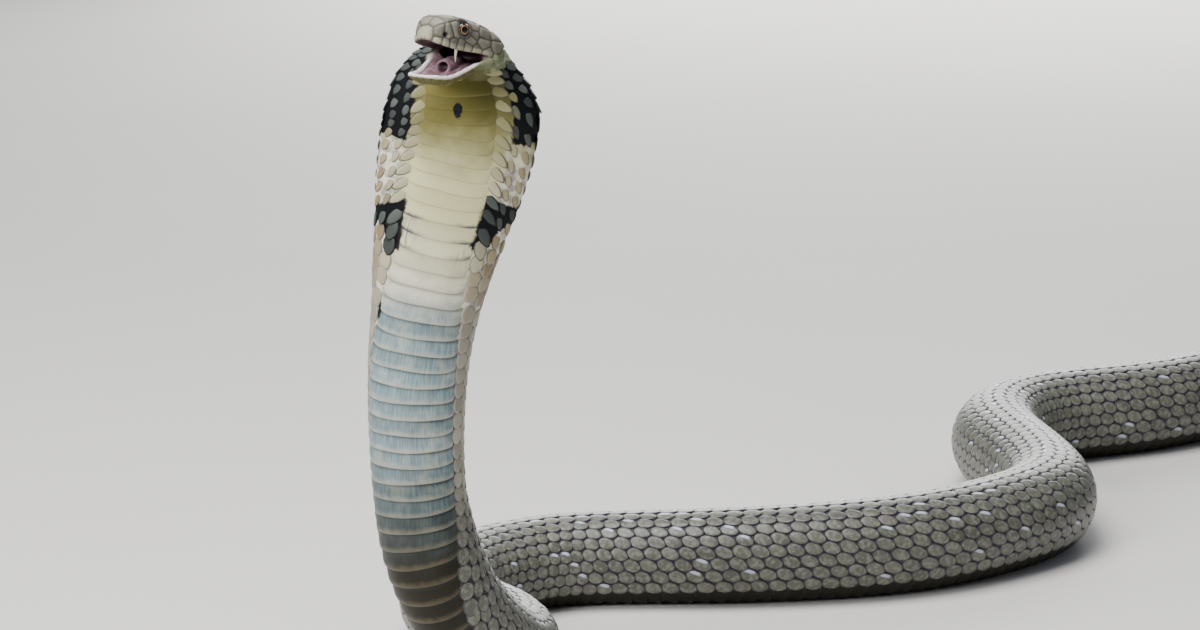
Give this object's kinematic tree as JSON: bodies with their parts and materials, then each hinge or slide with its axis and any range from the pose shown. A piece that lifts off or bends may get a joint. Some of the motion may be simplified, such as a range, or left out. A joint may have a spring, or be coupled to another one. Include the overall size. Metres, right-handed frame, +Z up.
{
  "type": "king cobra",
  "caption": "Life-size king cobra, rearing with spread hood and open mouth, its long body lying in loose bends on the floor.",
  "frame": {"origin": "on the belly where the reared body first lies on the floor, at floor height", "axes": "+Z up, the belly of the reared part looks along -Y, and the lying body runs off towards +X"},
  "size_m": [1.3148, 1.0623, 0.4927],
  "materials": {
    "head_skin": "olive-brown head shields with thin dark seams, a soft natural gloss",
    "mouth_skin": "pale lips and moist pink-mauve mouth lining",
    "front_skin": "cream to yellow throat plates turning blue-grey down the neck, black bars on the hood",
    "body_skin": "smooth olive-grey scales with dark violet-grey skin between them",
    "eye": "wet black pupil in a thin golden iris",
    "tooth": "ivory"
  },
  "bodies": {
    "root": {"base_bend": "body_skin", "body_1": "body_skin", "body_10": "body_skin", "body_11": "body_skin", "body_12": "body_skin", "body_13": "body_skin", "body_14": "body_skin", "body_2": "body_skin", "body_3": "body_skin", "body_4": "body_skin", "body_5": "body_skin", "body_6": "body_skin", "body_7": "body_skin", "body_8": "body_skin", "body_9": "body_skin", "eye_left": "eye", "eye_right": "eye", "fang": "tooth", "head": "head_skin", "hood": "front_skin", "lower_jaw": "mouth_skin", "neck": "front_skin", "tail_1": "body_skin", "tail_2": "body_skin", "tail_3": "body_skin", "tail_4": "body_skin"}
  },
  "joints": []
}
